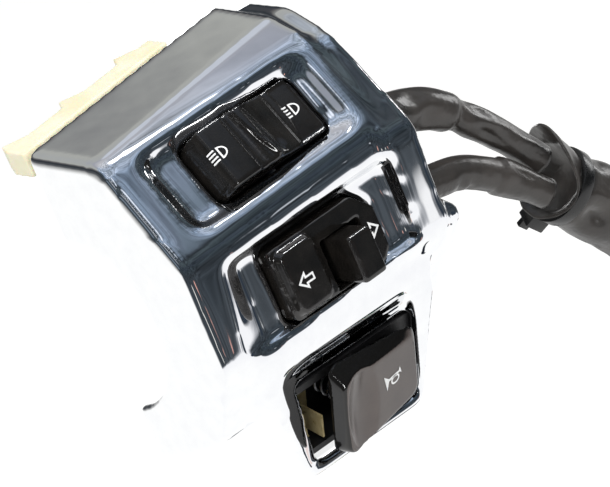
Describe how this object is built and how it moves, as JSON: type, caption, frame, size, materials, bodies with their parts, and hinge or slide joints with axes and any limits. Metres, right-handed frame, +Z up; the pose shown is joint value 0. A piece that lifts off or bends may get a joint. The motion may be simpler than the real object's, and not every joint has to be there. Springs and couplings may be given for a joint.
{
  "type": "motorbike handlebar switch cluster",
  "caption": "Front half of a chromed left-hand handlebar switch housing with a beam rocker, a sliding turn switch, a horn paddle and a sleeved wiring harness.",
  "frame": {"origin": "middle of the half-round handlebar saddle, on the handlebar's axis", "axes": "+X along the handlebar, inboard towards the harness; +Y to the rear, out of the parting face; +Z up"},
  "size_m": [0.132, 0.0502, 0.2285],
  "materials": {
    "chromed_casing": "mirror",
    "gloss_black": "gloss",
    "matt_black": "matt",
    "white_acetal": "satin",
    "cream_nylon": "satin",
    "contact_board": "matt",
    "steel": "satin",
    "brass": "satin",
    "black_pvc": "satin",
    "rubber": "matt",
    "tie_nylon": "satin",
    "wire_blue": "satin",
    "wire_green": "satin",
    "wire_brown": "satin"
  },
  "bodies": {
    "casing": {"housing_shell": "chromed_casing", "terminal_carrier": "cream_nylon", "beam_pivot_pin": "steel", "beam_base": "matt_black", "beam_board": "contact_board", "beam_base_screws": "steel", "turn_plate": "gloss_black", "turn_base": "matt_black", "turn_board": "contact_board", "turn_base_screws": "steel", "horn_hinge_pin": "steel", "horn_base": "matt_black", "horn_spring": "steel", "horn_fixed_contact": "brass", "upper_branch": "black_pvc", "upper_branch_grommet": "rubber", "lower_branch": "black_pvc", "lower_branch_grommet": "rubber", "main_sleeve": "black_pvc", "cable_tie": "tie_nylon", "beam_wires": "wire_blue", "turn_wires": "wire_green", "horn_wire": "wire_brown", "connector_large": "cream_nylon", "connector_large_leads": "wire_blue", "connector_small": "cream_nylon", "connector_small_leads": "wire_green"},
    "beam_rocker": {"beam_rocker": "gloss_black"},
    "beam_plunger": {"beam_plunger": "white_acetal"},
    "turn_slider": {"turn_slider": "matt_black", "knob_spring": "steel"},
    "turn_knob": {"turn_knob": "gloss_black"},
    "horn_paddle": {"horn_paddle": "gloss_black"}
  },
  "joints": [
    {"name": "beam_rock", "type": "hinge", "parent": "casing", "child": "beam_rocker", "pos_m": [-0.02311, -0.02352, 0.02073], "axis": [0.0274, -0.5062, -0.862], "range_deg": [0, 15]},
    {"name": "beam_detent", "type": "slide", "parent": "beam_rocker", "child": "beam_plunger", "axis": [0.0592, -0.86, 0.5069], "range_m": [0, 0.0006], "stiffness_N_per_m": 500},
    {"name": "turn_slide", "type": "slide", "parent": "casing", "child": "turn_slider", "axis": [0.9989, -0.0308, 0.0358], "range_m": [-0.0019, 0.0019]},
    {"name": "turn_cancel_push", "type": "slide", "parent": "turn_slider", "child": "turn_knob", "axis": [0.0296, 0.999, 0.0341], "range_m": [0, 0.0015], "stiffness_N_per_m": 600, "deforming": ["knob_spring"]},
    {"name": "horn_press", "type": "hinge", "parent": "casing", "child": "horn_paddle", "pos_m": [-0.0102, -0.02129, -0.02854], "axis": [0, 0.4264, -0.9045], "range_deg": [0, 5.4], "stiffness_Nm_per_rad": 0.12, "deforming": ["horn_spring"]}
  ]
}
